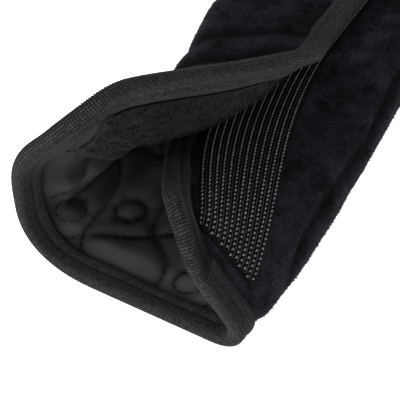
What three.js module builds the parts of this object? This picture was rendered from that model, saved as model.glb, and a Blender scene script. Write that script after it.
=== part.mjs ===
// Seat belt shoulder pad: a padded sheet folded into a flat tube round the belt and closed along
// its length with hook and loop strips. The near end of the seam is peeled open.
// Millimetres, +Z up, the tube lies along Y with its open mouth at -Y and its flat underside on z = 0.
//
// Every piece is built flat, with u across the opened-out pad (0 at the lower flap's long edge),
// v along it (0 at the mouth) and height as the distance out from the pad's middle surface.
// The flat pieces are then wrapped on to the folded middle surface.
import * as THREE from "three";
import { mergeVertices } from "three/addons/utils/BufferGeometryUtils.js";

// Opened-out pad
const PAD_LENGTH = 270;
const PAD_WIDTH = 189;
const BASE_LINE = 91.8; // from the lower flap's long edge to the middle of the underside
const CORNER_RADIUS = 18;
const PAD_THICKNESS = 5.5;
const LAYER_GAP = 0.3; // left between neighbouring layers so that each stays a body of its own

// Layers, from the middle surface: plush outside, wadding in the middle, lining inside
const EDGE_THICKNESS = 2.4; // the layers pressed together under the edge tape
const PLUSH_SHARE = 0.3;
const WADDING_SHARE = 0.52;
// The quilting swells into the tube between slanting stitch lines. One set lies twice as far apart.
const PUFF_HEIGHT = 0.9;
const PUFF_PITCH_U = 24;
const PUFF_PITCH_V = 28;
const PUFF_STRIP_CLEAR = 5; // plain lining beside the loop strip

// Edge tape, folded round the whole rim of the pad
const TAPE_THICKNESS = 0.8;
const TAPE_GAP = 0.45; // between the tape and the layers that it holds
const TAPE_LEG = 7.5;
const TAPE_SEAM_INSET = 4.5;
const TAPE_SEAM_DEPTH = 0.3;
const TAPE_SEAM_SPREAD = 1.2; // to each side of the seam
const TAPE_EDGE_SPREAD = 1; // over which the tape thins to its inner edge
const TAPE_NOSE = { inset: 0.35, height: 0.75 }; // shares of the tape's half thickness at its round fold
const PRESSED_START = 1.2; // past the tape's inner edge the pad begins to fill out
const PRESSED_RUN = 6; // and over this run it reaches its full thickness

// Hook strip on the lower flap's outer face, loop strip on the upper flap's inner face
const HOOK_WIDTH = 24.5;
const LOOP_WIDTH = 20.5;
const HOOK_INSET = 11; // from the long edge of the flap
const LOOP_INSET = 8.5;
const STRIP_END_INSET = 11.5;
const HOOK_THICKNESS = 1.0;
const LOOP_THICKNESS = 0.9;

// Closed tube
const CAVITY = 6.4; // clear height for the belt
const FLAP_SPACE = 2.8; // between the two flaps, filled by the strips
const CLOSED_RIGHT_START = 20.3; // from the base line to where the side turns up
const CLOSED_LEFT_START = 31.2;
const CLOSED_SHIFT = -1; // sideways, to centre the closed tube

// Peeled-open mouth
const OPEN_LENGTH = 113;
const OPEN_EASE = 1.3;
const MOUTH = {
  rightStart: 37.7, rightTurn: 21.8, rightAngle: 119.2, rightCurl: -9,
  leftStart: -1.6, lowTurn: 40.5, lowAngle: 92.3, wall: 1.1, highTurn: 35, highAngle: 44.7,
  flapRoll: 13.8, softness: 1, shift: -19.5, rightDrift: -5.6, leftDrift: -5.6,
};
// What the middle of the peel has more than the eased mouth and closed values
const MID_PEEL = {
  rightStart: -3.8, rightTurn: 0, rightAngle: -9.3, rightCurl: 51.8,
  leftStart: -5.8, lowTurn: 0, lowAngle: -14.4, wall: -5.1, highTurn: 0, highAngle: 22.1,
  flapRoll: 66.4, softness: 0, shift: 6.8, rightDrift: 0, leftDrift: 0,
};
const CURL_RUN = 40;
const ROLL_RUN = 45; // how far in from its edge the upper flap rolls back outwards

// Fineness of the meshes
const FLAT_COLUMN = 6.5;
const FLAP_COLUMN = 5.4;
const TURN_COLUMN = 3.3;
const STRIP_COLUMNS = 6;
const OPEN_ROW = 7.5;
const CLOSED_ROW = 24;
const CORNER_ROWS = 5;
const RIM_STATION = 2.6; // along the rim, across the two ends
const CORNER_STATIONS = 6;
const SECTION_STEP = 1.5; // along the cross-section, as the side's turn is summed up
const SLOPE_STEP = 0.5; // to each side of a point, to find which way its surface faces
const SAME_PLACE = 0.01;

const clamp01 = (t) => Math.min(1, Math.max(0, t));
const smooth = (t) => clamp01(t) ** 2 * (3 - 2 * clamp01(t));
const mix = (a, b, t) => a + (b - a) * t;

// A side turns up, and over into its flap. Closed, its turns are round; at the mouth they are soft,
// with a bend that swells and fades along the turn.
const bend = (t, softness) => mix(clamp01(t), smooth(t), softness);
const RIGHT_TURN = (Math.PI / 2) * (PAD_THICKNESS + CAVITY);
const LEFT_TURN = (Math.PI / 2) * (2 * PAD_THICKNESS + CAVITY + FLAP_SPACE);
const CLOSED = {
  rightStart: CLOSED_RIGHT_START, rightTurn: RIGHT_TURN, rightAngle: 180, rightCurl: 0,
  leftStart: CLOSED_LEFT_START, lowTurn: LEFT_TURN / 2, lowAngle: 90, wall: 0,
  highTurn: LEFT_TURN / 2, highAngle: 90, flapRoll: 0,
  softness: 0, shift: CLOSED_SHIFT, rightDrift: 0, leftDrift: 0,
};

// The bend of the cross-section at a distance v from the mouth
function sectionAt(v) {
  const open = clamp01(1 - v / OPEN_LENGTH) ** OPEN_EASE;
  const middle = 4 * open * (1 - open);
  const section = {};
  for (const key of Object.keys(CLOSED)) {
    section[key] = mix(CLOSED[key], MOUTH[key], open) + MID_PEEL[key] * middle;
  }
  return section;
}

// How far the right or left side has turned, in radians, at a distance s from the base line
function rightHeading(section, s) {
  const curl = Math.max(0, (s - section.rightStart - section.rightTurn) / CURL_RUN);
  const turn = bend((s - section.rightStart) / section.rightTurn, section.softness);
  return THREE.MathUtils.degToRad(section.rightAngle * turn + section.rightCurl * curl);
}
function leftHeading(section, s) {
  const past = s - section.leftStart;
  const pastWall = past - section.lowTurn - section.wall;
  const low = section.lowAngle * bend(past / section.lowTurn, section.softness);
  const high = section.highAngle * bend(pastWall / section.highTurn, section.softness);
  const roll = section.flapRoll * smooth((s - (PAD_WIDTH - BASE_LINE - ROLL_RUN)) / ROLL_RUN);
  return THREE.MathUtils.degToRad(low + high - roll);
}

// The point of the folded middle surface at (u, v)
function middlePoint(u, v) {
  const section = sectionAt(v);
  const side = u < BASE_LINE ? 1 : -1;
  const reach = Math.abs(u - BASE_LINE);
  const steps = Math.max(1, Math.ceil(reach / SECTION_STEP));
  const step = reach / steps;
  let x = 0;
  let z = 0;
  for (let i = 0; i < steps; i++) {
    const s = (i + 0.5) * step;
    const heading = side > 0 ? rightHeading(section, s) : leftHeading(section, s);
    x += Math.cos(heading) * step;
    z += Math.sin(heading) * step;
  }
  const start = side > 0 ? section.rightStart : section.leftStart;
  const span = (side > 0 ? BASE_LINE : PAD_WIDTH - BASE_LINE) - start;
  const drift = (side > 0 ? section.rightDrift : section.leftDrift) * smooth((reach - start) / span);
  return new THREE.Vector3(
    side * x + section.shift, v - PAD_LENGTH / 2 + drift, z + PAD_THICKNESS / 2);
}

function wrapPoint(u, v, height) {
  const alongU = middlePoint(u + SLOPE_STEP, v).sub(middlePoint(u - SLOPE_STEP, v));
  const alongV = middlePoint(u, v + SLOPE_STEP).sub(middlePoint(u, v - SLOPE_STEP));
  return middlePoint(u, v).addScaledVector(alongU.cross(alongV).normalize(), height);
}

// Distance of (u, v) from the rim of the opened-out pad
function rimDistance(u, v) {
  const side = Math.min(u, PAD_WIDTH - u);
  const end = Math.min(v, PAD_LENGTH - v);
  if (side > CORNER_RADIUS || end > CORNER_RADIUS) return Math.min(side, end);
  return CORNER_RADIUS - Math.hypot(CORNER_RADIUS - side, CORNER_RADIUS - end);
}

// Half the thickness of the pad: pressed thin under the tape, full a little way in
function halfThickness(inset) {
  const full = smooth((inset - TAPE_LEG - PRESSED_START) / PRESSED_RUN);
  return mix(EDGE_THICKNESS, PAD_THICKNESS, full) / 2;
}

// The swelling of the quilted lining, none on its stitch lines and none near the rim
function puff(u, v) {
  const across = Math.sin((Math.PI / 2) * (u / PUFF_PITCH_U + v / PUFF_PITCH_V - 1));
  const along = Math.sin(Math.PI * (u / PUFF_PITCH_U - v / PUFF_PITCH_V));
  const clear = smooth((rimDistance(u, v) - TAPE_LEG - PRESSED_RUN / 2) / (2 * PRESSED_RUN));
  const besideLoop = PAD_WIDTH - u - LOOP_INSET - LOOP_WIDTH - PUFF_STRIP_CLEAR;
  const clearOfLoop = smooth(besideLoop / PRESSED_RUN);
  return PUFF_HEIGHT * Math.sqrt(Math.abs(across * along)) * clear * clearOfLoop;
}

const material = (name, color, roughness) => {
  const made = new THREE.MeshStandardMaterial({ color, roughness, metalness: 0 });
  made.name = name;
  return made;
};

// Moves every vertex of a flat geometry by place(u, v, height), then closes its seams
function finish(name, flat, look, place) {
  flat.deleteAttribute("normal");
  flat.deleteAttribute("uv");
  const position = flat.getAttribute("position");
  for (let i = 0; i < position.count; i++) {
    const { x, y, z } = place(position.getX(i), position.getY(i), position.getZ(i));
    position.setXYZ(i, x, y, z);
  }
  const solid = mergeVertices(flat, 1e-4);
  solid.computeVertexNormals();
  const mesh = new THREE.Mesh(solid, look);
  mesh.name = name;
  return mesh;
}

// A box of one cell in height whose faces are cut into cells. The under face is cut along the same
// diagonals as the top one, so that neighbouring layers never cross where the pad is bent.
function flatSheet(columns, rows) {
  const flat = new THREE.BoxGeometry(2, rows, 2, columns, rows, 1);
  const index = flat.getIndex();
  const under = flat.groups[5];
  for (let i = under.start; i < under.start + under.count; i += 6) {
    const [a, b, d, , c] = index.array.slice(i, i + 5);
    index.array.set([a, b, c, a, c, d], i);
  }
  return flat;
}

// Distances from the mouth at which the layers have a row of vertices
function rowStations(inset) {
  const corner = CORNER_RADIUS - inset;
  const rows = [];
  for (let i = 0; i < CORNER_ROWS; i++) {
    rows.push(inset + corner * (1 - Math.cos((Math.PI / 2) * (i / CORNER_ROWS))));
  }
  const openRows = Math.ceil((OPEN_LENGTH - CORNER_RADIUS) / OPEN_ROW);
  for (let i = 0; i < openRows; i++) {
    rows.push(mix(CORNER_RADIUS, OPEN_LENGTH, i / openRows));
  }
  const closedRun = PAD_LENGTH - CORNER_RADIUS - OPEN_LENGTH;
  const closedRows = Math.ceil(closedRun / CLOSED_ROW);
  for (let i = 0; i < closedRows; i++) {
    rows.push(OPEN_LENGTH + closedRun * (i / closedRows));
  }
  for (let i = CORNER_ROWS; i >= 0; i--) {
    rows.push(PAD_LENGTH - inset - corner * (1 - Math.cos((Math.PI / 2) * (i / CORNER_ROWS))));
  }
  return rows;
}

// Columns of vertices across a layer, from -1 to 1: close where the pad turns up at the sides
function columnStations() {
  const zones = [
    [0, FLAP_COLUMN],
    [BASE_LINE - MOUTH.rightStart - MOUTH.rightTurn, TURN_COLUMN],
    [BASE_LINE - CLOSED_RIGHT_START, FLAT_COLUMN],
    [BASE_LINE + CLOSED_LEFT_START / 2, TURN_COLUMN],
    [BASE_LINE + CLOSED_LEFT_START + LEFT_TURN, FLAT_COLUMN],
    [PAD_WIDTH, 0],
  ];
  const columns = [];
  for (let i = 0; i < zones.length - 1; i++) {
    const [start, pitch] = zones[i];
    const run = zones[i + 1][0] - start;
    const count = Math.ceil(run / pitch);
    for (let k = 0; k < count; k++) columns.push(start + (run * k) / count);
  }
  columns.push(PAD_WIDTH);
  return columns.map((u) => (2 * u) / PAD_WIDTH - 1);
}

// One full layer of the pad. It stops inside the tape's fold; top and bottom are its two faces
// as heights for a given distance from the rim.
function layer(name, look, top, bottom) {
  const inset = TAPE_THICKNESS + LAYER_GAP;
  const rows = rowStations(inset);
  const halfWidth = PAD_WIDTH / 2 - inset;
  const corner = CORNER_RADIUS - inset;
  const columns = columnStations();
  const flat = flatSheet(columns.length - 1, rows.length - 1);
  return finish(name, flat, look, (x, y, z) => {
    const across = columns[Math.round(((x + 1) / 2) * (columns.length - 1))];
    const v = rows[Math.round(y + (rows.length - 1) / 2)];
    const end = Math.min(v, PAD_LENGTH - v) - inset;
    const past = Math.max(0, corner - end);
    const reach = halfWidth - corner + Math.sqrt(Math.max(0, corner ** 2 - past ** 2));
    const u = PAD_WIDTH / 2 + across * reach;
    return wrapPoint(u, v, z > 0 ? top(rimDistance(u, v)) : bottom(rimDistance(u, v), u, v));
  });
}

// The clear thickness that the three layers share, and where each one's faces lie
const layerRoom = (inset) => 2 * halfThickness(inset) - 2 * LAYER_GAP;
const plushBottom = (inset) => halfThickness(inset) - PLUSH_SHARE * layerRoom(inset);
const waddingTop = (inset) => plushBottom(inset) - LAYER_GAP;
const waddingBottom = (inset) => waddingTop(inset) - WADDING_SHARE * layerRoom(inset);
const liningTop = (inset) => waddingBottom(inset) - LAYER_GAP;
const liningBottom = (inset, u, v) => -halfThickness(inset) - puff(u, v);

// Stations round the rim: the corner or side centre they are measured from, and the way out
function rimStations() {
  const near = CORNER_RADIUS;
  const farU = PAD_WIDTH - CORNER_RADIUS;
  const farV = PAD_LENGTH - CORNER_RADIUS;
  const corners = [[near, near], [farU, near], [farU, farV], [near, farV]];
  // Across the ends evenly, along the sides level with the rows of the layers
  const endCount = Math.ceil((farU - near) / RIM_STATION);
  const endShares = Array.from({ length: endCount + 1 }, (_, k) => k / endCount);
  const sideShares = rowStations(0)
    .filter((v) => v > near - SAME_PLACE && v < farV + SAME_PLACE)
    .map((v) => (v - near) / (farV - near));
  const stations = [];
  for (let i = 0; i < 4; i++) {
    const here = new THREE.Vector2(...corners[i]);
    const next = new THREE.Vector2(...corners[(i + 1) % 4]);
    const out = new THREE.Vector2(0, -1).rotateAround(new THREE.Vector2(), (i * Math.PI) / 2);
    const backShares = sideShares.map((t) => 1 - t).reverse();
    const shares = [endShares, sideShares, endShares, backShares][i];
    for (const share of shares) stations.push({ centre: here.clone().lerp(next, share), out });
    for (let k = 1; k < CORNER_STATIONS; k++) {
      const turned = out.clone().rotateAround(new THREE.Vector2(), (Math.PI / 2) * (k / CORNER_STATIONS));
      stations.push({ centre: next, out: turned });
    }
  }
  return stations;
}

// The tape's cross-section: x is the inset from its fold, y the height, round the outside and back
function tapeProfile() {
  const inner = EDGE_THICKNESS / 2 + TAPE_GAP;
  const outer = inner + TAPE_THICKNESS;
  const half = [
    [TAPE_LEG, outer - TAPE_SEAM_DEPTH],
    [TAPE_LEG - TAPE_EDGE_SPREAD, outer],
    [TAPE_SEAM_INSET + TAPE_SEAM_SPREAD, outer],
    [TAPE_SEAM_INSET, outer - TAPE_SEAM_DEPTH],
    [TAPE_SEAM_INSET - TAPE_SEAM_SPREAD, outer],
    [outer * TAPE_NOSE.inset, outer * TAPE_NOSE.height],
  ];
  const points = half.map(([x, y]) => new THREE.Vector2(x, y));
  points.push(new THREE.Vector2(0, 0));
  points.push(...half.toReversed().map(([x, y]) => new THREE.Vector2(x, -y)));
  for (const x of [TAPE_LEG, TAPE_SEAM_INSET, TAPE_THICKNESS]) points.push(new THREE.Vector2(x, -inner));
  for (const x of [TAPE_THICKNESS, TAPE_SEAM_INSET, TAPE_LEG]) points.push(new THREE.Vector2(x, inner));
  points.push(points[0].clone());
  return points;
}

function edgeTape(name, look) {
  // Lathed as a ring whose radius carries the inset, then laid along the rim
  const ring = tapeProfile().reverse().map((p) => new THREE.Vector2(2 * TAPE_LEG - p.x, p.y));
  const stations = rimStations();
  const flat = new THREE.LatheGeometry(ring, stations.length);
  return finish(name, flat, look, (x, y, z) => {
    const turn = Math.atan2(x, z) / (2 * Math.PI) + 1;
    const { centre, out } = stations[Math.round(turn * stations.length) % stations.length];
    const inset = 2 * TAPE_LEG - Math.hypot(x, z);
    const place = centre.clone().addScaledVector(out, CORNER_RADIUS - inset);
    return wrapPoint(place.x, place.y, y);
  });
}

// A strip sewn flat on a flap: uFrom to uTo across, heights from low to high
function strip(name, look, uFrom, uTo, low, high) {
  const rows = rowStations(STRIP_END_INSET);
  const flat = flatSheet(STRIP_COLUMNS, rows.length - 1);
  return finish(name, flat, look, (x, y, z) => {
    const v = rows[Math.round(y + (rows.length - 1) / 2)];
    return wrapPoint(mix(uFrom, uTo, (x + 1) / 2), v, z > 0 ? high : low);
  });
}

const plush = material("plush_velour", "#101017", 0.95);
const wadding = material("wadding_foam", "#3a3a3d", 0.95);
const lining = material("quilted_satin", "#1d1d20", 0.55);
const tape = material("woven_tape", "#222225", 0.8);
const hook = material("hook_nylon", "#2c2c30", 0.5);
const loop = material("loop_pile", "#1f1c22", 0.95);

const face = PAD_THICKNESS / 2;
const hookLow = face + LAYER_GAP;
const loopHigh = -face - LAYER_GAP;

const pad = new THREE.Group();
pad.name = "seat_belt_shoulder_pad";
pad.add(
  layer("plush_cover", plush, halfThickness, plushBottom),
  layer("foam_padding", wadding, waddingTop, waddingBottom),
  layer("quilted_lining", lining, liningTop, liningBottom),
  edgeTape("edge_binding", tape),
  strip("hook_strip", hook, HOOK_INSET, HOOK_INSET + HOOK_WIDTH,
    hookLow, hookLow + HOOK_THICKNESS),
  strip("loop_strip", loop, PAD_WIDTH - LOOP_INSET - LOOP_WIDTH, PAD_WIDTH - LOOP_INSET,
    loopHigh - LOOP_THICKNESS, loopHigh),
);

// Puts the origin at the middle of the pad, level with its underside
const box = new THREE.Box3().setFromObject(pad);
const middle = box.getCenter(new THREE.Vector3());
for (const piece of pad.children) piece.geometry.translate(-middle.x, -middle.y, 0);

export default pad;
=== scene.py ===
"""Looks of the seat belt shoulder pad: plush sleeve, quilted lining, edge tape, hook and loop strips.

Every cloth piece is modelled flat, in millimetres, as (across, along, height) on the opened-out pad,
and then folded on to the same bent middle surface as the solids.
"""
import math

import bmesh
import bpy
import numpy as np
from mathutils import Matrix, Vector


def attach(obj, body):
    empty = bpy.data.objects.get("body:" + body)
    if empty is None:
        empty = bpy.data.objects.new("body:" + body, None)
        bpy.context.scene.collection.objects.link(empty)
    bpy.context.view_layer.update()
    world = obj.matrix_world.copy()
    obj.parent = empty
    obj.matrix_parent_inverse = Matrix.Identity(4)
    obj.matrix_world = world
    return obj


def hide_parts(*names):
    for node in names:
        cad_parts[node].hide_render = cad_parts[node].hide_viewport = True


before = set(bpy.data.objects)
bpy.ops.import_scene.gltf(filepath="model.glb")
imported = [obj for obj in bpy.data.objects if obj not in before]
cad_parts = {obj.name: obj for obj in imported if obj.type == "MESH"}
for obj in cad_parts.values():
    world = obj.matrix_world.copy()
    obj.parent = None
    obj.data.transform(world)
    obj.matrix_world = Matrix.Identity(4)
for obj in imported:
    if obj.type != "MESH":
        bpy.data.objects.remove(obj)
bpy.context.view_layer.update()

# Opened-out pad, in millimetres, as in the part's source
PAD_LENGTH = 270.0
PAD_WIDTH = 189.0
BASE_LINE = 91.8
CORNER_RADIUS = 18.0
PAD_THICKNESS = 5.5
LAYER_GAP = 0.3
EDGE_THICKNESS = 2.4
TAPE_THICKNESS = 0.8
TAPE_GAP = 0.45
TAPE_LEG = 7.5
TAPE_SEAM_INSET = 4.5
PRESSED_START = 1.2
PRESSED_RUN = 6.0
HOOK_WIDTH = 24.5
LOOP_WIDTH = 20.5
HOOK_INSET = 11.0
LOOP_INSET = 8.5
STRIP_END_INSET = 11.5
STRIP_SEAT = 0.25
CAVITY = 6.4
FLAP_SPACE = 2.8
OPEN_LENGTH = 113.0
OPEN_EASE = 1.3
CURL_RUN = 40.0
ROLL_RUN = 45.0
MIDDLE_SHIFT = (5.901, 2.555)
RIGHT_TURN = math.pi / 2 * (PAD_THICKNESS + CAVITY)
LEFT_TURN = math.pi / 2 * (2 * PAD_THICKNESS + CAVITY + FLAP_SPACE)
CLOSED = dict(
    right_start=20.3, right_turn=RIGHT_TURN, right_angle=180, right_curl=0,
    left_start=31.2, low_turn=LEFT_TURN / 2, low_angle=90, wall=0,
    high_turn=LEFT_TURN / 2, high_angle=90, flap_roll=0,
    softness=0, shift=-1, right_drift=0, left_drift=0)
MOUTH = dict(
    right_start=37.7, right_turn=21.8, right_angle=119.2, right_curl=-9,
    left_start=-1.6, low_turn=40.5, low_angle=92.3, wall=1.1,
    high_turn=35, high_angle=44.7, flap_roll=13.8,
    softness=1, shift=-19.5, right_drift=-5.6, left_drift=-5.6)
MID_PEEL = dict(
    right_start=-3.8, right_turn=0, right_angle=-9.3, right_curl=51.8,
    left_start=-5.8, low_turn=0, low_angle=-14.4, wall=-5.1,
    high_turn=0, high_angle=22.1, flap_roll=66.4,
    softness=0, shift=6.8, right_drift=0, left_drift=0)

# The net that stands for the bent middle surface, in millimetres
NET_STEP = 0.5
NET_ROW = 1.0
NET_MARGIN = 3.0

# Fineness of each cloth, in millimetres
PLUSH_NET = 1.4
WADDING_NET = 3.0
LINING_NET = 1.1
STRIP_NET = 1.6

# Layers, as shares of the room between the two faces
PLUSH_SHARE = 0.3
WADDING_SHARE = 0.52
LAYER_INSET = TAPE_THICKNESS + LAYER_GAP

# Plush, in millimetres
SWELLS = dict(height=0.4, size=34, dimple=0.25, dimple_size=13, start=4, fade=20, flat_half=34,
              inset=1.5, inset_fade=4, hook_clear=3)
GATHERS = dict(height=0.35, size=6, inset=4, reach=3)
SIDE_CREASE = dict(across=57.3, swing=10.5, straight_from=95, swing_run=70, start=18, fade=14, width=1.1)
PUCKERS = dict(along=(78, 91), start=128, fade=12, middle=146, slant=0.5, width=2.6)
CREASE_DEPTH = 1.4
NAP_PATCH = 9
TUFT_PITCH = 0.6
PILE_COUNT = 48000
RESTING = dict(shift=-2, half=22, start=14)
FUZZ_BESIDE_HOOKS = 5000

# Lining, in millimetres
QUILT_PITCH_U = 24.0
QUILT_PITCH_V = 28.0
QUILT_RING = 4.5
PUFF_HEIGHT = 2.4
PUFF_REACH = 2.0
PLEATS = dict(height=0.42, count=7, reach=3)
CRUMPLE = dict(height=0.35, size=16, stretch=0.7)
# In WALL_FOLD, shade is the width of the painted shade in the fold
WALL_FOLD = dict(across=121, swing=9, start=5, run=30, drawn_from=8, drawn_run=6, end=45, fade=20,
                 depth=1.6, width=1.8, shade=2.6)
WALL_RIDGE = dict(beyond=9, height=2.6, width=5, lit=4, start=9, start_fade=7, end=30, fade=14)
# Painted shade up the left wall of the mouth, less on the lit ridge
WALL_SHADE = dict(start=111, fade=10, end=50, end_fade=30, share=0.78, ridge_share=0.5)
# Reach of the painted shade along the quilting's stitch lines
STITCH_SHADE = 0.7
QUILT_STITCH = dict(pitch=2.8, length=1.0, width=0.27, height=0.24, rise=0.05)

# Edge tape, in millimetres
TAPE_INNER = EDGE_THICKNESS / 2 + TAPE_GAP
TAPE_OUTER = TAPE_INNER + TAPE_THICKNESS
TAPE_NOSE = 1.6
TAPE_POINTS = 16
TAPE_STEP = (TAPE_LEG - TAPE_NOSE) / (TAPE_POINTS - 1)
RIB_PITCH = 0.85
RIB_RISE = 0.2
RIB_DIP = 0.19
WEFT_PITCH = TAPE_STEP / 1.1
SEAM_GROOVE = dict(depth=0.42, width=0.6)
FREE_EDGE = dict(run=0.8, fall=0.3, lift=0.5, lift_run=3.5, lift_size=17,
                 stray=0.25, stray_run=4, stray_size=21)
TAPE_STITCH = dict(pitch=3.0, length=1.0, width=0.17, height=0.14)

# Hook strip and loop strip, in millimetres
STRIP_LENGTH = PAD_LENGTH - 2 * STRIP_END_INSET
HOOK_GROUND = 0.4
HOOK_ROW_PITCH = 2.05
HOOK_PITCH = 1.5
HOOK_MARGIN = 0.45
HOOK_END = 0.7
RIDGE = dict(width=0.11, height=0.34, rise=0.1, end=1.0)
LOOP_GROUND = 0.5
LOOP_COUNT = 8500


def smooth(t):
    t = np.clip(t, 0, 1)
    return t * t * (3 - 2 * t)


def mix(a, b, t):
    return a + (b - a) * t


def bend(t, softness):
    t = np.clip(t, 0, 1)
    return mix(t, smooth(t), softness)


def folded_sheet():
    """Points and outward directions of the bent middle surface, on a fine even net."""
    step = NET_STEP
    along = np.arange(-NET_MARGIN, PAD_LENGTH + NET_MARGIN + NET_ROW / 2, NET_ROW)[:, None]
    opened = np.clip(1 - along / OPEN_LENGTH, 0, 1) ** OPEN_EASE
    section = {
        key: mix(CLOSED[key], MOUTH[key], opened) + MID_PEEL[key] * 4 * opened * (1 - opened)
        for key in CLOSED}

    def side(reach, start, heading, drift, towards):
        count = int(round((reach + NET_MARGIN) / step))
        s = (np.arange(count) + 0.5)[None, :] * step
        turned = np.radians(heading(s))
        x = np.cumsum(np.cos(turned), axis=1) * step
        z = np.cumsum(np.sin(turned), axis=1) * step
        ends = (np.arange(count) + 1.0)[None, :] * step
        y = drift * smooth((ends - start) / (reach - start))
        zero = np.zeros_like(along)
        return [np.hstack([zero, values]) for values in (towards * x, y, z)]

    q = section
    right = side(
        BASE_LINE, q["right_start"],
        lambda s: q["right_angle"] * bend((s - q["right_start"]) / q["right_turn"], q["softness"])
        + q["right_curl"] * np.clip((s - q["right_start"] - q["right_turn"]) / CURL_RUN, 0, 2),
        q["right_drift"], 1)
    left = side(
        PAD_WIDTH - BASE_LINE, q["left_start"],
        lambda s: q["low_angle"] * bend((s - q["left_start"]) / q["low_turn"], q["softness"])
        + q["high_angle"] * bend(
            (s - q["left_start"] - q["low_turn"] - q["wall"]) / q["high_turn"], q["softness"])
        - q["flap_roll"] * smooth((s - (PAD_WIDTH - BASE_LINE - ROLL_RUN)) / ROLL_RUN),
        q["left_drift"], -1)
    x, y, z = (np.hstack([r[:, ::-1], l[:, 1:]]) for r, l in zip(right, left))
    points = np.stack([
        x + q["shift"] + MIDDLE_SHIFT[0],
        y + along - PAD_LENGTH / 2 + MIDDLE_SHIFT[1],
        z + PAD_THICKNESS / 2], axis=-1)
    across = np.arange(points.shape[1]) * step - NET_MARGIN
    out = np.cross(np.gradient(points, axis=1), np.gradient(points, axis=0))
    out /= np.linalg.norm(out, axis=-1, keepdims=True)
    return across, along[:, 0], points, out


NET_ACROSS, NET_ALONG, NET_POINTS, NET_OUT = folded_sheet()


def fold(flat):
    """Flat (across, along, height) in millimetres to the folded place in metres."""
    a = np.clip((flat[:, 0] - NET_ACROSS[0]) / NET_STEP, 0, len(NET_ACROSS) - 1.001)
    b = np.clip((flat[:, 1] - NET_ALONG[0]) / NET_ROW, 0, len(NET_ALONG) - 1.001)
    i, j = a.astype(int), b.astype(int)
    s, t = (a - i)[:, None], (b - j)[:, None]

    def read(net):
        return mix(mix(net[j, i], net[j, i + 1], s), mix(net[j + 1, i], net[j + 1, i + 1], s), t)

    return (read(NET_POINTS) + read(NET_OUT) * flat[:, 2:3]) / 1000


def rim_distance(u, v):
    side = np.minimum(u, PAD_WIDTH - u)
    end = np.minimum(v, PAD_LENGTH - v)
    corner = CORNER_RADIUS - np.hypot(CORNER_RADIUS - side, CORNER_RADIUS - end)
    return np.where((side > CORNER_RADIUS) | (end > CORNER_RADIUS), np.minimum(side, end), corner)


def half_thickness(inset):
    full = smooth((inset - TAPE_LEG - PRESSED_START) / PRESSED_RUN)
    return mix(EDGE_THICKNESS, PAD_THICKNESS, full) / 2


def wander(u, v, size, seed):
    """Smooth unevenness from -1 to 1, with swells about size millimetres across."""
    dice = np.random.default_rng(seed)
    total = np.zeros_like(np.asarray(u, float))
    for _ in range(9):
        angle, phase = dice.uniform(0, 2 * math.pi, 2)
        wave = 2 * math.pi / (size * dice.uniform(0.7, 1.6))
        total += np.sin((u * math.cos(angle) + v * math.sin(angle)) * wave + phase)
    return total / 4.2


# Materials

def colour(hexadecimal):
    """sRGB hex to linear."""
    parts = [int(hexadecimal[i:i + 2], 16) / 255 for i in (1, 3, 5)]
    return [c / 12.92 if c <= 0.04045 else ((c + 0.055) / 1.055) ** 2.4 for c in parts] + [1.0]


def node(tree, kind, settings=None, links=None):
    """Adds a node, sets its values and properties, and links its inputs."""
    made = tree.nodes.new(kind)
    for key, value in (settings or {}).items():
        if isinstance(key, str) and hasattr(made, key):
            setattr(made, key, value)
        else:
            made.inputs[key].default_value = value
    for key, source in (links or {}).items():
        tree.links.new(source, made.inputs[key])
    return made


def new_material(name, settings):
    made = bpy.data.materials.new(name)
    made.use_nodes = True
    tree = made.node_tree
    shader = tree.nodes["Principled BSDF"]
    for key, value in settings.items():
        shader.inputs[key].default_value = value
    return made, tree, shader


def painted_crease_shade(tree, shade, share):
    """The colour made darker where the piece's own crease attribute is high: painted shade in its creases,
    stitch lines and shaded folds.
    """
    depth = node(tree, "ShaderNodeAttribute", {"attribute_name": "crease"})
    amount = node(tree, "ShaderNodeMath", {"operation": "MULTIPLY", 1: share}, {0: depth.outputs["Fac"]})
    mixed = node(tree, "ShaderNodeMixRGB", {"blend_type": "MIX", "Color2": (0, 0, 0, 1)},
                 {"Fac": amount.outputs[0], "Color1": shade})
    return mixed.outputs["Color"]


def cloth_velour():
    """Polyester velour, a cut pile: near black, its tips catch a cold sheen; where the nap lies over, its
    colour is painted lighter as painted sheen, and its creases get painted shade.
    """
    made, tree, shader = new_material("polyester_velour", {
        "Roughness": 0.95, "IOR": 1.5, "Specular IOR Level": 0.1,
        "Sheen Weight": 0.05, "Sheen Roughness": 0.45, "Sheen Tint": colour("#5b5f78")})
    place = node(tree, "ShaderNodeTexCoord")
    # The nap lies over in broad spots, painted as lighter colour: painted sheen. Single tufts stand in it,
    # lighter or darker at random
    painted_sheen_patches = node(tree, "ShaderNodeTexNoise", {"Scale": 1000 / NAP_PATCH, "Detail": 6.0, "Roughness": 0.72},
                   {"Vector": place.outputs["Object"]})
    tufts = node(tree, "ShaderNodeTexNoise", {"Scale": 1000 / TUFT_PITCH, "Detail": 2.0},
                 {"Vector": place.outputs["Object"]})
    grain = node(tree, "ShaderNodeMix", {0: 0.4}, {2: painted_sheen_patches.outputs["Fac"], 3: tufts.outputs["Fac"]})
    shade = node(tree, "ShaderNodeValToRGB", links={"Fac": grain.outputs[0]})
    shade.color_ramp.elements[0].position = 0.4
    shade.color_ramp.elements[0].color = colour("#010102")
    shade.color_ramp.elements[1].position = 0.66
    shade.color_ramp.elements[1].color = colour("#282830")
    # Painted shade in the plush's creases, from its crease attribute
    tree.links.new(painted_crease_shade(tree, shade.outputs["Color"], 0.9), shader.inputs["Base Color"])
    both = node(tree, "ShaderNodeMath", {"operation": "MULTIPLY"},
                {0: painted_sheen_patches.outputs["Fac"], 1: tufts.outputs["Fac"]})
    lumps = node(tree, "ShaderNodeBump", {"Strength": 0.8, "Distance": 0.0006},
                 {"Height": both.outputs[0]})
    tree.links.new(lumps.outputs["Normal"], shader.inputs["Normal"])
    return made


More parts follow.
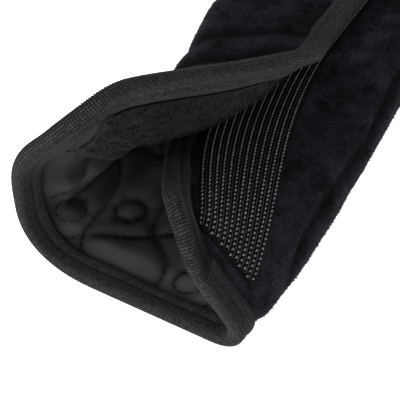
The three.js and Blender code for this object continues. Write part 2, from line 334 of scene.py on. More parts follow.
def cloth_tape():
    """Woven polypropylene tape: charcoal, ribs across it, with a dull shine on each rib."""
    made, tree, shader = new_material("woven_tape", {
        "Roughness": 0.85, "IOR": 1.49, "Specular IOR Level": 0.12,
        "Sheen Weight": 0.02, "Sheen Roughness": 0.4, "Sheen Tint": colour("#8a8a92")})
    place = node(tree, "ShaderNodeUVMap", {"uv_map": "cloth"})
    # One unit of the pattern holds two ribs and two rows of weft
    threads = node(tree, "ShaderNodeMapping", {"Scale": (1000 / RIB_PITCH / 2, 1000 / WEFT_PITCH / 2, 1)},
                   {"Vector": place.outputs["UV"]})
    weave = node(tree, "ShaderNodeTexBrick", {
        "offset": 0.0, "Scale": 1.0, "Brick Width": 0.5, "Row Height": 0.5,
        "Mortar Size": 0.16, "Mortar Smooth": 1.0,
        "Color1": colour("#424245"), "Color2": colour("#2a2a2d"), "Mortar": colour("#020203")},
        {"Vector": threads.outputs["Vector"]})
    tree.links.new(weave.outputs["Color"], shader.inputs["Base Color"])
    raised = node(tree, "ShaderNodeBump", {"Strength": 0.7, "Distance": 0.00012},
                  {"Height": weave.outputs["Color"]})
    tree.links.new(raised.outputs["Normal"], shader.inputs["Normal"])
    return made


def cloth_satin():
    """Polyester satin lining: dark grey with a soft broad shine, finely woven, creased by its quilting, with
    painted shade along its stitch lines and up the left wall.
    """
    made, tree, shader = new_material("polyester_satin", {
        "Roughness": 0.6, "IOR": 1.5, "Specular IOR Level": 0.14,
        "Sheen Weight": 0.02, "Sheen Roughness": 0.5})
    place = node(tree, "ShaderNodeUVMap", {"uv_map": "cloth"})
    # Threads lie 0.35 mm apart
    threads = node(tree, "ShaderNodeTexWave", {
        "wave_type": "BANDS", "bands_direction": "DIAGONAL", "Scale": 1000 / 0.35 / 20, "Distortion": 0.6,
        "Detail": 1.0}, {"Vector": place.outputs["UV"]})
    shades = node(tree, "ShaderNodeTexNoise", {"Scale": 1000 / 14, "Detail": 2.0},
                  {"Vector": place.outputs["UV"]})
    shade = node(tree, "ShaderNodeValToRGB", links={"Fac": shades.outputs["Fac"]})
    shade.color_ramp.elements[0].position = 0.3
    shade.color_ramp.elements[0].color = colour("#2b2b2d")
    shade.color_ramp.elements[1].position = 0.7
    shade.color_ramp.elements[1].color = colour("#3c3c3e")
    # Painted shade in the stitch lines and folds of the lining, from its crease attribute
    tree.links.new(painted_crease_shade(tree, shade.outputs["Color"], 0.95), shader.inputs["Base Color"])
    weave = node(tree, "ShaderNodeBump", {"Strength": 0.25, "Distance": 0.00008},
                 {"Height": threads.outputs["Fac"]})
    tree.links.new(weave.outputs["Normal"], shader.inputs["Normal"])
    return made


def plain_finish(name, dark, light, size, settings):
    """A finish whose shade varies between two near colours over spots of the given size in mm."""
    made, tree, shader = new_material(name, settings)
    place = node(tree, "ShaderNodeTexCoord")
    spots = node(tree, "ShaderNodeTexNoise", {"Scale": 1000 / size, "Detail": 2.0},
                 {"Vector": place.outputs["Object"]})
    shade = node(tree, "ShaderNodeValToRGB", links={"Fac": spots.outputs["Fac"]})
    shade.color_ramp.elements[0].position = 0.35
    shade.color_ramp.elements[0].color = colour(dark)
    shade.color_ramp.elements[1].position = 0.65
    shade.color_ramp.elements[1].color = colour(light)
    tree.links.new(shade.outputs["Color"], shader.inputs["Base Color"])
    grain = node(tree, "ShaderNodeBump", {"Strength": 0.3, "Distance": 0.0001},
                 {"Height": spots.outputs["Fac"]})
    tree.links.new(grain.outputs["Normal"], shader.inputs["Normal"])
    return made


velour = cloth_velour()
# Loose tips of the pile: the shades of the cloth they stand on, which roughen its outline
velour_tips = plain_finish("velour_pile_tips", "#010102", "#24242c", NAP_PATCH, {
    "Roughness": 0.8, "IOR": 1.5, "Specular IOR Level": 0.1,
    "Sheen Weight": 0.05, "Sheen Roughness": 0.4, "Sheen Tint": colour("#666b88")})
tape_cloth = cloth_tape()
satin = cloth_satin()
# Polyester wadding: soft grey web, dull all over
wadding = plain_finish("polyester_wadding", "#39393b", "#4a4a4c", 4, {"Roughness": 1.0, "IOR": 1.5})
# Moulded nylon hooks: glossy, and painted pale as painted light, so a bright dot shows on each
nylon = plain_finish("moulded_nylon_painted_light", "#55555b", "#6c6c74", 3, {
    "Roughness": 0.24, "IOR": 1.53, "Specular IOR Level": 0.6})
# Ground of the hook tape: dull, and painted near black as painted shade between the rows of hooks, so that
# the rows stand out
hook_ground_painted_shade = plain_finish("nylon_hook_ground_painted_shade", "#020203", "#060607", 1, {
    "Roughness": 0.9, "IOR": 1.53, "Specular IOR Level": 0.1})
# The same nylon in the fine ridges, painted darker than the hooks as painted shade, since their sides lie in
# shade
nylon_ridge_painted_shade = plain_finish("nylon_ridge_painted_shade", "#2e2e33", "#3c3c42", 3, {
    "Roughness": 0.5, "IOR": 1.53, "Specular IOR Level": 0.3})
# Brushed nylon loops: a fuzzy web with a faint violet cast
loop_nylon = plain_finish("brushed_nylon_loop", "#060508", "#161319", 2, {
    "Roughness": 0.75, "IOR": 1.53, "Specular IOR Level": 0.15, "Sheen Weight": 0.03, "Sheen Roughness": 0.4})
# Spun polyester thread: matt black
thread = plain_finish("polyester_thread", "#030304", "#070708", 1, {
    "Roughness": 0.9, "IOR": 1.5, "Specular IOR Level": 0.2})


# Making pieces

def set_places(bm, places):
    for vertex, place in zip(bm.verts, places):
        vertex.co = place


def piece(bm, name, material, node_names=(), cloth_uv=None, creased=None):
    """Folds a flat bmesh, gives it a cloth UV in metres, and makes it an object on the pad.

    Creased says how much painted shade each vertex gets, from 0 to 1: in a crease, in a stitch line, or up
    the lining's wall.
    """
    bm.verts.index_update()
    flat = np.array([v.co for v in bm.verts])
    uv_of = (flat[:, :2] if cloth_uv is None else cloth_uv) / 1000
    layer = bm.loops.layers.uv.new("cloth")
    for face in bm.faces:
        for loop in face.loops:
            loop[layer].uv = uv_of[loop.vert.index]
    # The crease attribute carries painted shade for the piece's material
    if creased is not None:
        depth = bm.verts.layers.float.new("crease")
        for vertex, value in zip(bm.verts, creased):
            vertex[depth] = value
    set_places(bm, fold(flat))
    bmesh.ops.remove_doubles(bm, verts=bm.verts, dist=2e-6)
    mesh = bpy.data.meshes.new(name)
    bm.to_mesh(mesh)
    bm.free()
    mesh.shade_smooth()
    mesh.materials.append(material)
    made = bpy.data.objects.new(name, mesh)
    bpy.context.scene.collection.objects.link(made)
    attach(made, "root")
    if node_names:
        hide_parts(*node_names)
    return made


def flat_layer(name, material, node_names, pitch, top, bottom, inset, creases=None):
    """A closed sheet that fills the pad's rounded outline, less an inset."""
    columns = int((PAD_WIDTH - 2 * inset) / pitch)
    rows = int((PAD_LENGTH - 2 * inset) / pitch)
    bm = bmesh.new()
    bmesh.ops.create_grid(bm, x_segments=columns, y_segments=rows, size=1)
    grown = bmesh.ops.extrude_face_region(bm, geom=bm.faces[:])
    lifted = [g for g in grown["geom"] if isinstance(g, bmesh.types.BMVert)]
    bmesh.ops.translate(bm, verts=lifted, vec=(0, 0, 1))
    box = np.array([v.co for v in bm.verts])
    corner = CORNER_RADIUS - inset
    v = PAD_LENGTH / 2 + box[:, 1] * (PAD_LENGTH / 2 - inset)
    past = np.maximum(0, corner - (np.minimum(v, PAD_LENGTH - v) - inset))
    reach = PAD_WIDTH / 2 - inset - corner + np.sqrt(np.maximum(0, corner ** 2 - past ** 2))
    u = PAD_WIDTH / 2 + box[:, 0] * reach
    d = rim_distance(u, v)
    h = np.where(box[:, 2] > 0.5, top(u, v, d), bottom(u, v, d))
    set_places(bm, np.stack([u, v, h], axis=1))
    bmesh.ops.recalc_face_normals(bm, faces=bm.faces)
    # Creases gives each vertex its painted shade, held in the crease attribute
    return piece(bm, name, material, node_names, creased=creases and creases(u, v))


def copies(bm, places, turns, sizes, leans):
    """Flat copies of a small shape: turned about its height, sized, leaned over and set in place."""
    bm.verts.index_update()
    shape = np.array([v.co for v in bm.verts])
    faces = [[v.index for v in f.verts] for f in bm.faces]
    bm.free()
    cos, sin = np.cos(turns)[:, None], np.sin(turns)[:, None]
    x = shape[None, :, 0] * sizes[:, 0:1]
    y = shape[None, :, 1] * sizes[:, 1:2]
    z = shape[None, :, 2] * sizes[:, 2:3]
    flat = np.stack([
        x * cos - y * sin + leans[:, 0:1] * z,
        x * sin + y * cos + leans[:, 1:2] * z, z], axis=-1) + places[:, None, :]
    flat = flat.reshape(-1, 3)
    starts = np.arange(len(places)) * len(shape)
    mesh = bpy.data.meshes.new("copies")
    mesh.from_pydata(flat.tolist(), [], [[i + s for i in f] for s in starts.tolist() for f in faces])
    made = bmesh.new()
    made.from_mesh(mesh)
    bpy.data.meshes.remove(mesh)
    return made


def scattered(name, material, bm, places, turns, sizes, leans):
    made = copies(bm, places, turns, sizes, leans)
    flat = np.array([v.co for v in made.verts])
    return piece(made, name, material, cloth_uv=flat[:, :2])


# Layers of the pad

def hollow(away, width):
    return np.exp(-(away / width) ** 2)


def plush_creases(u, v):
    """Where the plush is creased: along the side of the tube, and across the flap where it lifts. The creases
    are pressed into its shape and also get painted shade.
    """
    line, pucker = SIDE_CREASE, PUCKERS
    across = line["across"] - line["swing"] * smooth((line["straight_from"] - v) / line["swing_run"])
    side = hollow(u - across, line["width"]) * smooth((v - line["start"]) / line["fade"])
    reach = smooth((u - pucker["start"]) / pucker["fade"])
    slanting = v - (u - pucker["middle"]) * pucker["slant"]
    puckers = [hollow(slanting - along, pucker["width"]) * reach for along in pucker["along"]]
    return np.maximum(side, np.maximum(*puckers))


def plush_swell(u, v, d):
    """The soft unevenness of the padded plush, with its creases and the gathers along the tape."""
    soft, near_tape = SWELLS, GATHERS
    rest = smooth((v - soft["start"]) / soft["fade"])
    flat_below = np.exp(-((u - BASE_LINE) / soft["flat_half"]) ** 6)
    swell = soft["height"] * wander(u, v, soft["size"], 3)
    swell = swell + soft["dimple"] * wander(u, v, soft["dimple_size"], 4)
    close = hollow(d - TAPE_LEG - near_tape["inset"], near_tape["reach"])
    gathers = near_tape["height"] * wander(u, v, near_tape["size"], 9) * close
    beside_hooks = np.abs(u - HOOK_INSET - HOOK_WIDTH / 2) - HOOK_WIDTH / 2
    bare = 1 - smooth((soft["hook_clear"] - beside_hooks) / soft["hook_clear"])
    form = (swell * (1 - flat_below) + gathers) * rest - CREASE_DEPTH * plush_creases(u, v)
    return form * smooth((d - TAPE_LEG - soft["inset"]) / soft["inset_fade"]) * bare


def plush_top(u, v, d):
    return half_thickness(d) + plush_swell(u, v, d)


def layer_room(d):
    return 2 * half_thickness(d) - 2 * LAYER_GAP


def plush_bottom(u, v, d):
    return half_thickness(d) - PLUSH_SHARE * layer_room(d)


def wadding_top(u, v, d):
    return plush_bottom(u, v, d) - LAYER_GAP


def wadding_bottom(u, v, d):
    return wadding_top(u, v, d) - WADDING_SHARE * layer_room(d)


def lining_top(u, v, d):
    return wadding_bottom(u, v, d) - LAYER_GAP


def quilt_place(u, v):
    """The two slanting coordinates of the quilting. Stitch lines run where either is a whole number."""
    return u / QUILT_PITCH_U + v / QUILT_PITCH_V, u / QUILT_PITCH_U - v / QUILT_PITCH_V


def flat_place(p, q):
    return (p + q) * QUILT_PITCH_U / 2, (p - q) * QUILT_PITCH_V / 2


LINE_SPACING = 1 / math.hypot(1 / QUILT_PITCH_U, 1 / QUILT_PITCH_V)
LINE_BOW = 0.12
SHALLOW_SHIFT = -0.15


def steep_bow(p):
    """How far the steep stitch lines swing aside as they run on, as a share of their spacing."""
    return LINE_BOW * np.sin(math.pi * (p - 0.5))


def shallow_bow(q):
    return SHALLOW_SHIFT - LINE_BOW * np.sin(math.pi * (q - 0.5))


def from_ring(u, v):
    """Offset from the centre of the nearest stitched ring."""
    p, q = quilt_place(u, v)
    dp = (p - 1.5 + 1) % 2 - 1
    dq = q % 1 - 0.5
    return flat_place(dp, dq)


def quilt_lines(u, v):
    """Distance to the nearest quilting stitch: long slanting cells, each with a ring."""
    p, q = quilt_place(u, v)
    steep = np.abs((q - steep_bow(p) + 0.5) % 1 - 0.5)
    shallow = np.abs((p - shallow_bow(q)) % 2 - 1)
    ring = np.abs(np.hypot(*from_ring(u, v)) - QUILT_RING)
    return np.minimum(np.minimum(steep, shallow) * LINE_SPACING, ring)


def past_wall_fold(u, v):
    """Distance beyond the line where the lining gathers into a fold along the left wall of the mouth."""
    wall = WALL_FOLD
    return u - wall["across"] - wall["swing"] * smooth((v - wall["start"]) / wall["run"])


def wall_fold_here(v):
    """Where along the pad that fold is drawn in, from 0 to 1."""
    drawn = smooth((v - WALL_FOLD["drawn_from"]) / WALL_FOLD["drawn_run"])
    return drawn * (1 - smooth((v - WALL_FOLD["end"]) / WALL_FOLD["fade"]))


def wall_ridge_end(v):
    return 1 - smooth((v - WALL_RIDGE["end"]) / WALL_RIDGE["fade"])


LOOP_EDGE = PAD_WIDTH - LOOP_INSET - LOOP_WIDTH


def lining_bottom(u, v, d):
    puff = PUFF_HEIGHT * (1 - np.exp(-quilt_lines(u, v) / PUFF_REACH))
    # Small pleats gather round each ring
    ring_u, ring_v = from_ring(u, v)
    away = np.hypot(ring_u, ring_v) - QUILT_RING
    spokes = np.cos(PLEATS["count"] * np.arctan2(ring_v, ring_u))
    pleats = PLEATS["height"] * spokes * np.exp(-np.abs(away) / PLEATS["reach"]) * (away > 0)
    clear = smooth((d - TAPE_LEG - 1) / 5) * smooth((LOOP_EDGE - 1 - u) / 5)
    crumple = CRUMPLE["height"] * wander(u, v * CRUMPLE["stretch"], CRUMPLE["size"], 8)
    beyond = past_wall_fold(u, v)
    ridge = WALL_RIDGE["height"] * hollow(beyond - WALL_RIDGE["beyond"], WALL_RIDGE["width"]) \
        * smooth((v - WALL_RIDGE["start"]) / WALL_RIDGE["start_fade"]) * wall_ridge_end(v)
    drawn_in = WALL_FOLD["depth"] * hollow(beyond, WALL_FOLD["width"]) * wall_fold_here(v)
    return -half_thickness(d) - (puff + pleats + crumple + ridge - drawn_in) * clear


def lining_painted_shade(u, v):
    """Painted shade where the lining is drawn in: along its stitch lines and in the folds of the wall, with a
    broad painted shade up the wall, less on its lit ridge.
    """
    shaded = WALL_SHADE
    beyond = past_wall_fold(u, v)
    wall = hollow(beyond, WALL_FOLD["shade"]) * wall_fold_here(v)
    # Painted light: less painted shade on the lit ridge of the wall's fold
    lit_ridge = hollow(beyond - WALL_RIDGE["beyond"], WALL_RIDGE["lit"]) * wall_ridge_end(v)
    up_wall = smooth((u - shaded["start"]) / shaded["fade"])
    shade = (shaded["share"] - shaded["ridge_share"] * lit_ridge) * up_wall
    shade = shade * (1 - smooth((v - shaded["end"]) / shaded["end_fade"]))
    plain = smooth((u - LOOP_EDGE + 4) / 2)
    # Painted shade along the stitch lines, none on the plain cloth by the loop strip
    lines = np.exp(-quilt_lines(u, v) / STITCH_SHADE) * (1 - plain)
    return np.maximum(np.maximum(lines, wall), shade)


# The plush's creases also give its crease attribute: painted shade in its colour
cover = flat_layer("plush_cover_cloth", velour, ["plush_cover"], PLUSH_NET,
                   plush_top, plush_bottom, LAYER_INSET, plush_creases)
filling = flat_layer("wadding_sheet", wadding, ["foam_padding"], WADDING_NET,
                     wadding_top, wadding_bottom, LAYER_INSET)
# The lining's crease attribute carries its painted shade
lining = flat_layer("quilted_lining_cloth", satin, ["quilted_lining"], LINING_NET,
                    lining_top, lining_bottom, LAYER_INSET, lining_painted_shade)


# Edge tape

def rim_line(distance):
    """A point of the rim's inner guide line and the way out from it, at distances round the rim."""
    straight_u = PAD_WIDTH - 2 * CORNER_RADIUS
    straight_v = PAD_LENGTH - 2 * CORNER_RADIUS
    arc = math.pi / 2 * CORNER_RADIUS
    centre = np.zeros((len(distance), 2))
    out = np.zeros((len(distance), 2))
    corner = np.array([CORNER_RADIUS, CORNER_RADIUS])
    start = 0.0
    for i, side in enumerate((straight_u, straight_v, straight_u, straight_v)):
        turn = i * math.pi / 2
        ahead = np.array([math.cos(turn), math.sin(turn)])
        on = (distance >= start) & (distance <= start + side + arc)
        run = np.clip(distance[on] - start, 0, side)[:, None]
        angle = turn - math.pi / 2 + np.clip(distance[on] - start - side, 0, arc) / CORNER_RADIUS
        centre[on] = corner + ahead * run
        out[on] = np.stack([np.cos(angle), np.sin(angle)], axis=1)
        corner = corner + ahead * side
        start += side + arc
    return centre, out


RIM_LENGTH = 2 * (PAD_WIDTH + PAD_LENGTH - 4 * CORNER_RADIUS) + 2 * math.pi * CORNER_RADIUS


def tape_section():
    """Inset and height round the tape's folded section, outer face first, and how much it is ribbed."""
    legs = np.linspace(TAPE_LEG, TAPE_NOSE, TAPE_POINTS)
    nose = np.linspace(math.pi / 2, -math.pi / 2, 9)[1:-1]
    outer = [
        (x, TAPE_OUTER - SEAM_GROOVE["depth"] * math.exp(-((x - TAPE_SEAM_INSET) / SEAM_GROOVE["width"]) ** 2)
         - FREE_EDGE["fall"] * max(0, x - TAPE_LEG + FREE_EDGE["run"]))
        for x in legs]
    front = [(TAPE_NOSE - TAPE_NOSE * math.cos(t), TAPE_OUTER * math.sin(t)) for t in nose]
    back = [(x, -h) for x, h in reversed(outer)]
    inside = [(TAPE_LEG, -TAPE_INNER), (TAPE_SEAM_INSET, -TAPE_INNER), (1.0, -TAPE_INNER),
              (1.0, TAPE_INNER), (TAPE_SEAM_INSET, TAPE_INNER), (TAPE_LEG, TAPE_INNER)]
    section = outer + front + back
    ribbed = [1.0] * len(section) + [0.0] * len(inside)
    section += inside
    return np.array(section + section[:1]), np.array(ribbed + ribbed[:1])


def edge_tape():
    section, ribbed = tape_section()
    stations = 2 * int(RIM_LENGTH / RIB_PITCH)
    bm = bmesh.new()
    bmesh.ops.create_grid(bm, x_segments=stations, y_segments=len(section) - 1, size=1)
    box = np.array([v.co for v in bm.verts])
    i = np.round((box[:, 0] + 1) / 2 * stations).astype(int)
    k = np.round((box[:, 1] + 1) / 2 * (len(section) - 1)).astype(int)
    distance = (i % stations) * RIM_LENGTH / stations
    centre, out = rim_line(distance)
    inset, height = section[k, 0].copy(), section[k, 1].copy()
    side = np.sign(height)
    height += side * ribbed[k] * np.where(i % 2 == 0, -RIB_DIP, RIB_RISE)
    # The free edge lifts off the pad here and there, and strays from its line
    free = FREE_EDGE
    lifted = np.clip(wander(distance, distance * 0 + 7, free["lift_size"], 11), 0, 1)
    height += side * free["lift"] * smooth((inset - TAPE_LEG + free["lift_run"]) / free["lift_run"]) * lifted
    strays = smooth((inset - TAPE_LEG + free["stray_run"]) / free["stray_run"])
    inset += free["stray"] * wander(distance, side * 9, free["stray_size"], 12) * strays
    place = centre + out * (CORNER_RADIUS - inset)[:, None]
    set_places(bm, np.column_stack([place, height]))
    uv = np.column_stack([i * RIM_LENGTH / stations, k * TAPE_STEP])
    return piece(bm, "edge_tape", tape_cloth, ["edge_binding"], cloth_uv=uv)


tape = edge_tape()


def stitch_shape():
    bm = bmesh.new()
    bmesh.ops.create_uvsphere(bm, u_segments=6, v_segments=4, radius=1)
    bmesh.ops.rotate(bm, verts=bm.verts, matrix=Matrix.Rotation(math.pi / 2, 3, "Y"))
    return bm


def stitches(name, stitch, places, headings):
    count = len(places)
    size = [stitch["length"], stitch["width"], stitch["height"]]
    scattered(name, thread, stitch_shape(), places, headings,
              np.tile(size, (count, 1)), np.zeros((count, 2)))


def tape_stitches():
    """Stitches lie in the bottom of the tape's groove, on both its faces."""
    count = int(RIM_LENGTH / TAPE_STITCH["pitch"])
    distance = (np.arange(count) + 0.5) * RIM_LENGTH / count
    centre, out = rim_line(distance)
    place = centre + out * (CORNER_RADIUS - TAPE_SEAM_INSET)
    headings = np.arctan2(out[:, 0], -out[:, 1])
    bottom = TAPE_OUTER - SEAM_GROOVE["depth"]
    both = np.vstack([np.column_stack([place, np.full(count, side * bottom)]) for side in (1, -1)])
    stitches("tape_seam_stitches", TAPE_STITCH, both, np.tile(headings, 2))


tape_stitches()


# Hook strip and loop strip

def strip_rest(u, v):
    """How far from the middle surface a strip rests: on the cloth, and over the tape at its corners."""
    d = rim_distance(u, v)
    over_tape = smooth(TAPE_LEG + 1.3 - d)
    return mix(half_thickness(d), np.maximum(half_thickness(d), TAPE_OUTER), over_tape) + STRIP_SEAT


def strip_sheet(name, material, node_names, u_from, u_to, end, side, thickness, pitch):
    """A strip's ground cloth. Side is 1 on the outer face of the pad and -1 on its inner face."""
    bm = bmesh.new()
    rows = int((PAD_LENGTH - 2 * end) / pitch)
    columns = int((u_to - u_from) / pitch)
    bmesh.ops.create_grid(bm, x_segments=columns, y_segments=rows, size=1)
    grown = bmesh.ops.extrude_face_region(bm, geom=bm.faces[:])
    lifted = [g for g in grown["geom"] if isinstance(g, bmesh.types.BMVert)]
    bmesh.ops.translate(bm, verts=lifted, vec=(0, 0, 1))
    box = np.array([v.co for v in bm.verts])
    u = mix(u_from, u_to, (box[:, 0] + 1) / 2)
    v = PAD_LENGTH / 2 + box[:, 1] * (PAD_LENGTH / 2 - end)
    set_places(bm, np.column_stack([u, v, side * (strip_rest(u, v) + thickness * box[:, 2])]))
    bmesh.ops.recalc_face_normals(bm, faces=bm.faces)
    return piece(bm, name, material, node_names)


hook_ground = strip_sheet("hook_strip_ground", hook_ground_painted_shade, ["hook_strip"],
                          HOOK_INSET, HOOK_INSET + HOOK_WIDTH, STRIP_END_INSET, 1, HOOK_GROUND, STRIP_NET)


def hook_shape():
    """One moulded hook: a tapered stem with a blunt head that overhangs it on one side."""
    stem, head_size, overhang = 0.7, 0.33, 0.12
    bm = bmesh.new()
    bmesh.ops.create_cone(bm, segments=5, radius1=0.22, radius2=0.16, depth=stem, cap_ends=True)
    bmesh.ops.translate(bm, verts=bm.verts, vec=(0, 0, stem / 2))
    head = bmesh.ops.create_icosphere(bm, subdivisions=1, radius=head_size)["verts"]
    bmesh.ops.scale(bm, verts=head, vec=(1.0, 1.2, 0.7))
    bmesh.ops.translate(bm, verts=head, vec=(0, overhang, stem + 0.02))
    return bm


def hooks():
    rows = int(HOOK_WIDTH / HOOK_ROW_PITCH) + 1
    per_row = int(STRIP_LENGTH / HOOK_PITCH)
    row, along = np.meshgrid(np.arange(rows), np.arange(per_row))
    row, along = row.ravel(), along.ravel()
    u = HOOK_INSET + HOOK_MARGIN + row * HOOK_ROW_PITCH
    v = STRIP_END_INSET + HOOK_END + along * HOOK_PITCH + (row % 2) * HOOK_PITCH / 2
    keep = v < PAD_LENGTH - STRIP_END_INSET - 0.6
    places = np.column_stack([u, v, strip_rest(u, v) + HOOK_GROUND - 0.05])[keep]
    dice = np.random.default_rng(21)
    count = len(places)
    turns = dice.normal(0, 0.15, count)
    sizes = np.tile([1.0, 1.0, 0.8], (count, 1)) * dice.uniform(0.9, 1.08, (count, 1))
    scattered("hook_strip_hooks", nylon, hook_shape(), places, turns, sizes,
              np.zeros((count, 2)))


def hook_ridges():
    """Fine moulded ridges between the rows of hooks."""
    rows = int(HOOK_WIDTH / HOOK_ROW_PITCH)
    stretch = STRIP_LENGTH - 2 * RIDGE["end"]
    bm = bmesh.new()
    bmesh.ops.create_cube(bm, size=1)
    long_edges = [e for e in bm.edges if abs(e.verts[0].co.y - e.verts[1].co.y) > 0.5]
    bmesh.ops.subdivide_edges(bm, edges=long_edges, cuts=120, use_grid_fill=True)
    first = HOOK_INSET + HOOK_MARGIN + HOOK_ROW_PITCH / 2
    places = np.column_stack([
        first + np.arange(rows) * HOOK_ROW_PITCH, np.full(rows, PAD_LENGTH / 2), np.zeros(rows)])
    sizes = np.tile([RIDGE["width"], stretch, RIDGE["height"]], (rows, 1))
    made = copies(bm, places, np.zeros(rows), sizes, np.zeros((rows, 2)))
    flat = np.array([v.co for v in made.verts])
    flat[:, 2] += strip_rest(flat[:, 0], flat[:, 1]) + HOOK_GROUND + RIDGE["rise"]
    set_places(made, flat)
    piece(made, "hook_strip_ridges", nylon_ridge_painted_shade)


hooks()
hook_ridges()

loop_ground = strip_sheet("loop_strip_ground", loop_nylon, ["loop_strip"],
                          LOOP_EDGE, LOOP_EDGE + LOOP_WIDTH, STRIP_END_INSET, -1, LOOP_GROUND, STRIP_NET)


def loops():
    """The brushed pile: little open arches, each a ring half sunk in the ground cloth."""
    dice = np.random.default_rng(31)
    bm = bmesh.new()
    bmesh.ops.create_circle(bm, segments=7, radius=0.5, cap_ends=False)
    ring = bmesh.ops.extrude_edge_only(bm, edges=bm.edges[:])
    grown = [g for g in ring["geom"] if isinstance(g, bmesh.types.BMVert)]
    bmesh.ops.translate(bm, verts=grown, vec=(0, 0, 0.1))
    bmesh.ops.rotate(bm, verts=bm.verts, matrix=Matrix.Rotation(math.pi / 2, 3, "X"))
    side, end = 0.1, STRIP_END_INSET + 0.3
    u = dice.uniform(LOOP_EDGE + side, LOOP_EDGE + LOOP_WIDTH - side, LOOP_COUNT)
    v = dice.uniform(end, PAD_LENGTH - end, LOOP_COUNT)
    places = np.column_stack([u, v, -strip_rest(u, v) - LOOP_GROUND - 0.05])
    scattered("loop_strip_pile", loop_nylon, bm, places,
              dice.uniform(0, 2 * math.pi, LOOP_COUNT), dice.uniform(0.8, 2.1, (LOOP_COUNT, 3)),
              dice.normal(0, 0.5, (LOOP_COUNT, 2)))


loops()


# Pile of the plush

def pile():
    dice = np.random.default_rng(41)
    edge = TAPE_LEG - 1
    u = dice.uniform(edge, PAD_WIDTH - edge, PILE_COUNT)
    v = dice.uniform(edge, PAD_LENGTH - edge, PILE_COUNT)
    # Thicker between the hook strip and the tape
    over_strip = 1.2
    beside = slice(0, FUZZ_BESIDE_HOOKS)
    u[beside] = dice.uniform(TAPE_LEG - 0.5, HOOK_INSET + over_strip, FUZZ_BESIDE_HOOKS)
    d = rim_distance(u, v)
    past_ends = (v > STRIP_END_INSET) & (v < PAD_LENGTH - STRIP_END_INSET)
    on_hooks = (u > HOOK_INSET + over_strip) & (u < HOOK_INSET + HOOK_WIDTH - over_strip) & past_ends
    resting = (np.abs(u - BASE_LINE - RESTING["shift"]) < RESTING["half"]) & (v > RESTING["start"])
    keep = (d > TAPE_LEG - 0.6) & ~on_hooks & ~resting
    u, v, d = u[keep], v[keep], d[keep]
    bm = bmesh.new()
    bmesh.ops.create_cone(bm, segments=3, radius1=0.14, radius2=0, depth=1, cap_ends=True)
    bmesh.ops.translate(bm, verts=bm.verts, vec=(0, 0, 0.5))
    count = len(u)
    # The nap's heading, and how far it lies over, wander over the cloth
    nap = 1.4 + 1.3 * wander(u, v, 15, 42)
    lie = 0.55 + 0.45 * wander(u, v, 9, 43)
    leans = np.column_stack([np.cos(nap) * lie, np.sin(nap) * lie]) + dice.normal(0, 0.22, (count, 2))
    tall = dice.uniform(0.55, 1.0, count)
    on_strip = (u > HOOK_INSET) & (u < HOOK_INSET + HOOK_WIDTH) & (v > STRIP_END_INSET)
    foot = np.where(on_strip, strip_rest(u, v) + HOOK_GROUND - 0.1, plush_top(u, v, d) - 0.25)
    scattered("plush_pile", velour_tips, bm, np.column_stack([u, v, foot]),
              dice.uniform(0, 2 * math.pi, count),
              np.column_stack([np.ones(count), np.ones(count), tall]), leans)


pile()


# Quilting stitches on the lining

def quilt_stitches():
    run = QUILT_STITCH["pitch"] / math.hypot(QUILT_PITCH_U / 2, QUILT_PITCH_V / 2)
    far = int((PAD_WIDTH / QUILT_PITCH_U + PAD_LENGTH / QUILT_PITCH_V) + 1)
    lines = []
    for whole in range(-far, far):
        p = np.arange(0, far, run)
        lines.append(flat_place(p, whole + steep_bow(p)))
    for odd in range(1, far, 2):
        q = np.arange(-far, far, run)
        lines.append(flat_place(odd + shallow_bow(q), q))
    around = np.linspace(0, 2 * math.pi, 11)
    for k in range(-1, far):
        for n in range(-far, far):
            ring_u, ring_v = flat_place(1.5 + 2 * k, 0.5 + n)
            lines.append((ring_u + QUILT_RING * np.cos(around), ring_v + QUILT_RING * np.sin(around)))
    u = np.concatenate([(a[1:] + a[:-1]) / 2 for a, b in lines])
    v = np.concatenate([(b[1:] + b[:-1]) / 2 for a, b in lines])
    headings = np.concatenate([np.arctan2(np.diff(b), np.diff(a)) for a, b in lines])
    on_pad = (u > 0) & (u < PAD_WIDTH) & (v > 0) & (v < PAD_LENGTH)
    keep = on_pad & (rim_distance(u, v) > TAPE_LEG + 1) & (u < LOOP_EDGE - 2)
    u, v, headings = u[keep], v[keep], headings[keep]
    height = lining_bottom(u, v, rim_distance(u, v)) - QUILT_STITCH["rise"]
    stitches("quilting_stitches", QUILT_STITCH, np.column_stack([u, v, height]), headings)


quilt_stitches()


# Floor, light and camera

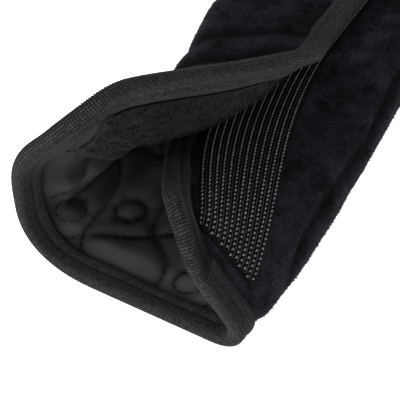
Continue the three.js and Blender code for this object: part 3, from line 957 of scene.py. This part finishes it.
def floor():
    bm = bmesh.new()
    bmesh.ops.create_grid(bm, x_segments=1, y_segments=1, size=4)
    mesh = bpy.data.meshes.new("studio_floor")
    bm.to_mesh(mesh)
    bm.free()
    made = bpy.data.objects.new("studio_floor", mesh)
    bpy.context.scene.collection.objects.link(made)
    paper, _, shader = new_material("white_paper", {"Base Color": colour("#ffffff"), "Roughness": 0.9})
    shader.inputs["Emission Color"].default_value = (1, 1, 1, 1)
    shader.inputs["Emission Strength"].default_value = 0.9
    mesh.materials.append(paper)


floor()


PAD_MIDDLE = Vector((0, -0.05, 0.02))


def soft_light(name, place, size, power):
    """A round soft light that faces the middle of the pad. Places in metres, power in watts."""
    light = bpy.data.lights.new(name, "AREA")
    light.shape = "DISK"
    light.size = size
    light.energy = power
    made = bpy.data.objects.new(name, light)
    made.location = place
    made.rotation_euler = (PAD_MIDDLE - Vector(place)).to_track_quat("-Z", "Y").to_euler()
    bpy.context.scene.collection.objects.link(made)


soft_light("window", (-0.75, -0.5, 1.1), 0.8, 8.5)
soft_light("overhead", (0.5, 0.5, 1.3), 0.9, 2.6)
soft_light("front_fill", (0.35, -1.25, 0.6), 0.7, 9.5)

world = bpy.data.worlds.new("studio")
bpy.context.scene.world = world
world.use_nodes = True
world.node_tree.nodes["Background"].inputs["Color"].default_value = (1, 1, 1, 1)
world.node_tree.nodes["Background"].inputs["Strength"].default_value = 0.3
bpy.context.scene.view_settings.view_transform = "Standard"

# Camera, fitted to the photograph's outline: its turn, its height, and the point that it looks at
AZIMUTH, ELEVATION = math.radians(30.07), math.radians(45.73)
DISTANCE = 0.46833
LOOK_AT = (-4.49, -96.53, 12.0)
SENSOR = 36
PICTURE_PIXELS = 400
FOCAL_PIXELS = 1558.4
target = Vector((LOOK_AT[0] + MIDDLE_SHIFT[0], LOOK_AT[1] + MIDDLE_SHIFT[1], LOOK_AT[2])) / 1000
away = Vector((
    math.sin(AZIMUTH) * math.cos(ELEVATION), -math.cos(AZIMUTH) * math.cos(ELEVATION), math.sin(ELEVATION)))
camera_data = bpy.data.cameras.new("camera")
camera_data.lens = FOCAL_PIXELS / PICTURE_PIXELS * SENSOR
camera_data.sensor_width = SENSOR
camera = bpy.data.objects.new("camera", camera_data)
camera.location = target + away * DISTANCE
camera.rotation_euler = away.to_track_quat("Z", "Y").to_euler()
bpy.context.scene.collection.objects.link(camera)
bpy.context.scene.camera = camera
